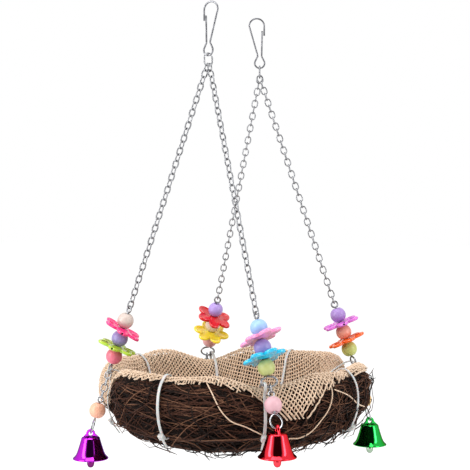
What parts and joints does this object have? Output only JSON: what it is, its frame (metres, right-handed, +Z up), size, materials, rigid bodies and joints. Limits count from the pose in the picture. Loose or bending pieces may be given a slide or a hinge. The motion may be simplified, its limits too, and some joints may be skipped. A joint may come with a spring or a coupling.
{
  "type": "hanging bird nest",
  "caption": "Shallow twig bowl lined with draped burlap, hung on chains from wire snap hooks, with beads, flower discs and swinging bells at the rim; a resting nest for a cage bird.",
  "frame": {"origin": "midway between the two snap hooks, level with the seats inside the tops of their bows", "axes": "+Z up, +Y from the front hook to the back hook, +X to the right seen from the front"},
  "size_m": [0.2048, 0.2048, 0.3393],
  "materials": {
    "steel": "bright plated wire",
    "nylon": "satin white nylon",
    "twig": "raw brown twigs",
    "burlap": "open plain weave, frayed",
    "front_right_bead_upper_paint": "glossy painted wood",
    "front_right_bead_middle_paint": "glossy painted wood",
    "front_right_bead_lower_paint": "glossy painted wood",
    "front_right_flower_upper_plastic": "glossy moulded plastic",
    "front_right_flower_lower_plastic": "glossy moulded plastic",
    "front_right_drop_bead_paint": "glossy painted wood",
    "front_right_bell_lacquer": "metallic lacquer",
    "back_right_bead_upper_paint": "glossy painted wood",
    "back_right_bead_middle_paint": "glossy painted wood",
    "back_right_bead_lower_paint": "glossy painted wood",
    "back_right_flower_upper_plastic": "glossy moulded plastic",
    "back_right_flower_lower_plastic": "glossy moulded plastic",
    "back_right_drop_bead_paint": "glossy painted wood",
    "back_right_bell_lacquer": "metallic lacquer",
    "back_left_bead_upper_paint": "glossy painted wood",
    "back_left_bead_middle_paint": "glossy painted wood",
    "back_left_bead_lower_paint": "glossy painted wood",
    "back_left_flower_upper_plastic": "glossy moulded plastic",
    "back_left_flower_lower_plastic": "glossy moulded plastic",
    "back_left_drop_bead_paint": "glossy painted wood",
    "back_left_bell_lacquer": "metallic lacquer",
    "front_left_bead_upper_paint": "glossy painted wood",
    "front_left_bead_middle_paint": "glossy painted wood",
    "front_left_bead_lower_paint": "glossy painted wood",
    "front_left_flower_upper_plastic": "glossy moulded plastic",
    "front_left_flower_lower_plastic": "glossy moulded plastic",
    "front_left_drop_bead_paint": "glossy painted wood",
    "front_left_bell_lacquer": "metallic lacquer"
  },
  "bodies": {
    "hooks": {"front_hook": "steel", "back_hook": "steel"},
    "nest": {"front_ring": "steel", "back_ring": "steel", "front_left_chain": "steel", "front_left_pin": "steel", "front_right_chain": "steel", "front_right_pin": "steel", "back_right_chain": "steel", "back_right_pin": "steel", "back_left_chain": "steel", "back_left_pin": "steel", "twig_basket": "twig", "burlap_liner": "burlap", "right_tie": "nylon", "back_tie": "nylon", "left_tie": "nylon", "front_tie": "nylon", "front_left_tie": "nylon", "front_right_tie": "nylon", "back_right_tie": "nylon", "back_left_tie": "nylon"},
    "front_gate": {"front_gate": "steel"},
    "back_gate": {"back_gate": "steel"},
    "front_left_drop": {"front_left_drop_chain": "steel"},
    "front_right_drop": {"front_right_drop_chain": "steel"},
    "back_right_drop": {"back_right_drop_chain": "steel"},
    "back_left_drop": {"back_left_drop_chain": "steel"},
    "front_left_bell": {"front_left_bell": "front_left_bell_lacquer"},
    "front_right_bell": {"front_right_bell": "front_right_bell_lacquer"},
    "back_right_bell": {"back_right_bell": "back_right_bell_lacquer"},
    "back_left_bell": {"back_left_bell": "back_left_bell_lacquer"},
    "front_left_clapper": {"front_left_clapper": "front_left_bell_lacquer"},
    "front_right_clapper": {"front_right_clapper": "front_right_bell_lacquer"},
    "back_right_clapper": {"back_right_clapper": "back_right_bell_lacquer"},
    "back_left_clapper": {"back_left_clapper": "back_left_bell_lacquer"},
    "front_left_flower_upper": {"front_left_flower_upper": "front_left_flower_upper_plastic"},
    "front_left_flower_lower": {"front_left_flower_lower": "front_left_flower_lower_plastic"},
    "front_right_flower_upper": {"front_right_flower_upper": "front_right_flower_upper_plastic"},
    "front_right_flower_lower": {"front_right_flower_lower": "front_right_flower_lower_plastic"},
    "back_right_flower_upper": {"back_right_flower_upper": "back_right_flower_upper_plastic"},
    "back_right_flower_lower": {"back_right_flower_lower": "back_right_flower_lower_plastic"},
    "back_left_flower_upper": {"back_left_flower_upper": "back_left_flower_upper_plastic"},
    "back_left_flower_lower": {"back_left_flower_lower": "back_left_flower_lower_plastic"},
    "front_left_bead_upper": {"front_left_bead_upper": "front_left_bead_upper_paint"},
    "front_left_bead_middle": {"front_left_bead_middle": "front_left_bead_middle_paint"},
    "front_left_bead_lower": {"front_left_bead_lower": "front_left_bead_lower_paint"},
    "front_right_bead_upper": {"front_right_bead_upper": "front_right_bead_upper_paint"},
    "front_right_bead_middle": {"front_right_bead_middle": "front_right_bead_middle_paint"},
    "front_right_bead_lower": {"front_right_bead_lower": "front_right_bead_lower_paint"},
    "back_right_bead_upper": {"back_right_bead_upper": "back_right_bead_upper_paint"},
    "back_right_bead_middle": {"back_right_bead_middle": "back_right_bead_middle_paint"},
    "back_right_bead_lower": {"back_right_bead_lower": "back_right_bead_lower_paint"},
    "back_left_bead_upper": {"back_left_bead_upper": "back_left_bead_upper_paint"},
    "back_left_bead_middle": {"back_left_bead_middle": "back_left_bead_middle_paint"},
    "back_left_bead_lower": {"back_left_bead_lower": "back_left_bead_lower_paint"},
    "front_left_drop_bead": {"front_left_drop_bead": "front_left_drop_bead_paint"},
    "front_right_drop_bead": {"front_right_drop_bead": "front_right_drop_bead_paint"},
    "back_right_drop_bead": {"back_right_drop_bead": "back_right_drop_bead_paint"},
    "back_left_drop_bead": {"back_left_drop_bead": "back_left_drop_bead_paint"}
  },
  "joints": [
    {"name": "nest_swing", "type": "hinge", "parent": "hooks", "child": "nest", "pos_m": [0, 0, -0.0365], "axis": [0, 1, 0], "range_deg": [-20, 20]},
    {"name": "front_gate_press", "type": "hinge", "parent": "hooks", "child": "front_gate", "pos_m": [-0.00115, -0.0375, -0.02855], "axis": [0, 1, 0], "range_deg": [0, 12], "stiffness_Nm_per_rad": 0.02},
    {"name": "back_gate_press", "type": "hinge", "parent": "hooks", "child": "back_gate", "pos_m": [0.00099, 0.03809, -0.02855], "axis": [0.515, -0.8572, 0], "range_deg": [0, 12], "stiffness_Nm_per_rad": 0.02},
    {"name": "front_left_drop_swing", "type": "hinge", "parent": "nest", "child": "front_left_drop", "pos_m": [-0.06782, -0.06725, -0.26966], "axis": [-0.7071, 0.7071, 0], "range_deg": [0, 50]},
    {"name": "front_right_drop_swing", "type": "hinge", "parent": "nest", "child": "front_right_drop", "pos_m": [0.06782, -0.06728, -0.2694], "axis": [-0.7071, -0.7071, 0], "range_deg": [0, 40]},
    {"name": "back_right_drop_swing", "type": "hinge", "parent": "nest", "child": "back_right_drop", "pos_m": [0.06782, 0.06728, -0.26944], "axis": [0.7071, -0.7071, 0], "range_deg": [0, 50]},
    {"name": "back_left_drop_swing", "type": "hinge", "parent": "nest", "child": "back_left_drop", "pos_m": [-0.06782, 0.06725, -0.26969], "axis": [0.7071, 0.7071, 0], "range_deg": [0, 50]},
    {"name": "front_left_bell_swing", "type": "hinge", "parent": "front_left_drop", "child": "front_left_bell", "pos_m": [-0.07715, -0.07658, -0.31281], "axis": [-0.7071, 0.7071, 0], "range_deg": [-10, 40]},
    {"name": "front_right_bell_swing", "type": "hinge", "parent": "front_right_drop", "child": "front_right_bell", "pos_m": [0.08016, -0.07962, -0.29432], "axis": [-0.7071, -0.7071, 0], "range_deg": [-10, 40]},
    {"name": "back_right_bell_swing", "type": "hinge", "parent": "back_right_drop", "child": "back_right_bell", "pos_m": [0.07662, 0.07607, -0.31282], "axis": [0.7071, -0.7071, 0], "range_deg": [-10, 40]},
    {"name": "back_left_bell_swing", "type": "hinge", "parent": "back_left_drop", "child": "back_left_bell", "pos_m": [-0.07848, 0.0779, -0.30698], "axis": [0.7071, 0.7071, 0], "range_deg": [-10, 40]},
    {"name": "front_left_clapper_swing", "type": "hinge", "parent": "front_left_bell", "child": "front_left_clapper", "pos_m": [-0.07715, -0.07658, -0.31821], "axis": [-0.7071, 0.7071, 0], "range_deg": [-15, 15]},
    {"name": "front_right_clapper_swing", "type": "hinge", "parent": "front_right_bell", "child": "front_right_clapper", "pos_m": [0.08016, -0.07962, -0.29972], "axis": [-0.7071, -0.7071, 0], "range_deg": [-15, 15]},
    {"name": "back_right_clapper_swing", "type": "hinge", "parent": "back_right_bell", "child": "back_right_clapper", "pos_m": [0.07662, 0.07607, -0.31822], "axis": [0.7071, -0.7071, 0], "range_deg": [-15, 15]},
    {"name": "back_left_clapper_swing", "type": "hinge", "parent": "back_left_bell", "child": "back_left_clapper", "pos_m": [-0.07848, 0.0779, -0.31238], "axis": [0.7071, 0.7071, 0], "range_deg": [-15, 15]},
    {"name": "front_left_flower_upper_spin", "type": "hinge", "parent": "nest", "child": "front_left_flower_upper", "pos_m": [-0.0581, -0.06309, -0.23735], "axis": [0.2861, 0.1222, 0.9504], "continuous": true},
    {"name": "front_left_flower_lower_spin", "type": "hinge", "parent": "nest", "child": "front_left_flower_lower", "pos_m": [-0.06204, -0.06478, -0.25046], "axis": [0.2861, 0.1222, 0.9504], "continuous": true},
    {"name": "front_right_flower_upper_spin", "type": "hinge", "parent": "nest", "child": "front_right_flower_upper", "pos_m": [0.0581, -0.06284, -0.23713], "axis": [-0.2861, 0.1305, 0.9493], "continuous": true},
    {"name": "front_right_flower_lower_spin", "type": "hinge", "parent": "nest", "child": "front_right_flower_lower", "pos_m": [0.06204, -0.06464, -0.25022], "axis": [-0.2861, 0.1305, 0.9493], "continuous": true},
    {"name": "back_right_flower_upper_spin", "type": "hinge", "parent": "nest", "child": "back_right_flower_upper", "pos_m": [0.05811, 0.06285, -0.23716], "axis": [-0.2856, -0.1302, 0.9494], "continuous": true},
    {"name": "back_right_flower_lower_spin", "type": "hinge", "parent": "nest", "child": "back_right_flower_lower", "pos_m": [0.06205, 0.06465, -0.25026], "axis": [-0.2856, -0.1302, 0.9494], "continuous": true},
    {"name": "back_left_flower_upper_spin", "type": "hinge", "parent": "nest", "child": "back_left_flower_upper", "pos_m": [-0.05811, 0.06309, -0.23737], "axis": [0.2856, -0.1225, 0.9505], "continuous": true},
    {"name": "back_left_flower_lower_spin", "type": "hinge", "parent": "nest", "child": "back_left_flower_lower", "pos_m": [-0.06205, 0.06478, -0.25049], "axis": [0.2856, -0.1225, 0.9505], "continuous": true},
    {"name": "front_left_bead_upper_spin", "type": "hinge", "parent": "nest", "child": "front_left_bead_upper", "pos_m": [-0.05612, -0.06225, -0.23079], "axis": [0.2861, 0.1222, 0.9504], "continuous": true},
    {"name": "front_left_bead_middle_spin", "type": "hinge", "parent": "nest", "child": "front_left_bead_middle", "pos_m": [-0.06007, -0.06394, -0.2439], "axis": [0.2861, 0.1222, 0.9504], "continuous": true},
    {"name": "front_left_bead_lower_spin", "type": "hinge", "parent": "nest", "child": "front_left_bead_lower", "pos_m": [-0.06402, -0.06562, -0.25702], "axis": [0.2861, 0.1222, 0.9504], "continuous": true},
    {"name": "front_right_bead_upper_spin", "type": "hinge", "parent": "nest", "child": "front_right_bead_upper", "pos_m": [0.05612, -0.06194, -0.23058], "axis": [-0.2861, 0.1305, 0.9493], "continuous": true},
    {"name": "front_right_bead_middle_spin", "type": "hinge", "parent": "nest", "child": "front_right_bead_middle", "pos_m": [0.06007, -0.06374, -0.24368], "axis": [-0.2861, 0.1305, 0.9493], "continuous": true},
    {"name": "front_right_bead_lower_spin", "type": "hinge", "parent": "nest", "child": "front_right_bead_lower", "pos_m": [0.06402, -0.06554, -0.25677], "axis": [-0.2861, 0.1305, 0.9493], "continuous": true},
    {"name": "back_right_bead_upper_spin", "type": "hinge", "parent": "nest", "child": "back_right_bead_upper", "pos_m": [0.05614, 0.06195, -0.23061], "axis": [-0.2856, -0.1302, 0.9494], "continuous": true},
    {"name": "back_right_bead_middle_spin", "type": "hinge", "parent": "nest", "child": "back_right_bead_middle", "pos_m": [0.06008, 0.06375, -0.24371], "axis": [-0.2856, -0.1302, 0.9494], "continuous": true},
    {"name": "back_right_bead_lower_spin", "type": "hinge", "parent": "nest", "child": "back_right_bead_lower", "pos_m": [0.06402, 0.06555, -0.25682], "axis": [-0.2856, -0.1302, 0.9494], "continuous": true},
    {"name": "back_left_bead_upper_spin", "type": "hinge", "parent": "nest", "child": "back_left_bead_upper", "pos_m": [-0.05614, 0.06224, -0.23081], "axis": [0.2856, -0.1225, 0.9505], "continuous": true},
    {"name": "back_left_bead_middle_spin", "type": "hinge", "parent": "nest", "child": "back_left_bead_middle", "pos_m": [-0.06008, 0.06393, -0.24393], "axis": [0.2856, -0.1225, 0.9505], "continuous": true},
    {"name": "back_left_bead_lower_spin", "type": "hinge", "parent": "nest", "child": "back_left_bead_lower", "pos_m": [-0.06402, 0.06562, -0.25704], "axis": [0.2856, -0.1225, 0.9505], "continuous": true},
    {"name": "front_left_drop_bead_spin", "type": "hinge", "parent": "front_left_drop", "child": "front_left_drop_bead", "pos_m": [-0.07364, -0.07306, -0.29655], "axis": [0.2067, 0.2067, 0.9563], "continuous": true},
    {"name": "front_right_drop_bead_spin", "type": "hinge", "parent": "front_right_drop", "child": "front_right_drop_bead", "pos_m": [0.07327, -0.07272, -0.28039], "axis": [-0.4056, 0.4056, 0.8192], "continuous": true},
    {"name": "back_right_drop_bead_spin", "type": "hinge", "parent": "back_right_drop", "child": "back_right_drop_bead", "pos_m": [0.0733, 0.07276, -0.29647], "axis": [-0.1949, -0.1949, 0.9613], "continuous": true},
    {"name": "back_left_drop_bead_spin", "type": "hinge", "parent": "back_left_drop", "child": "back_left_drop_bead", "pos_m": [-0.07397, 0.0734, -0.29122], "axis": [0.2649, -0.2649, 0.9272], "continuous": true}
  ]
}
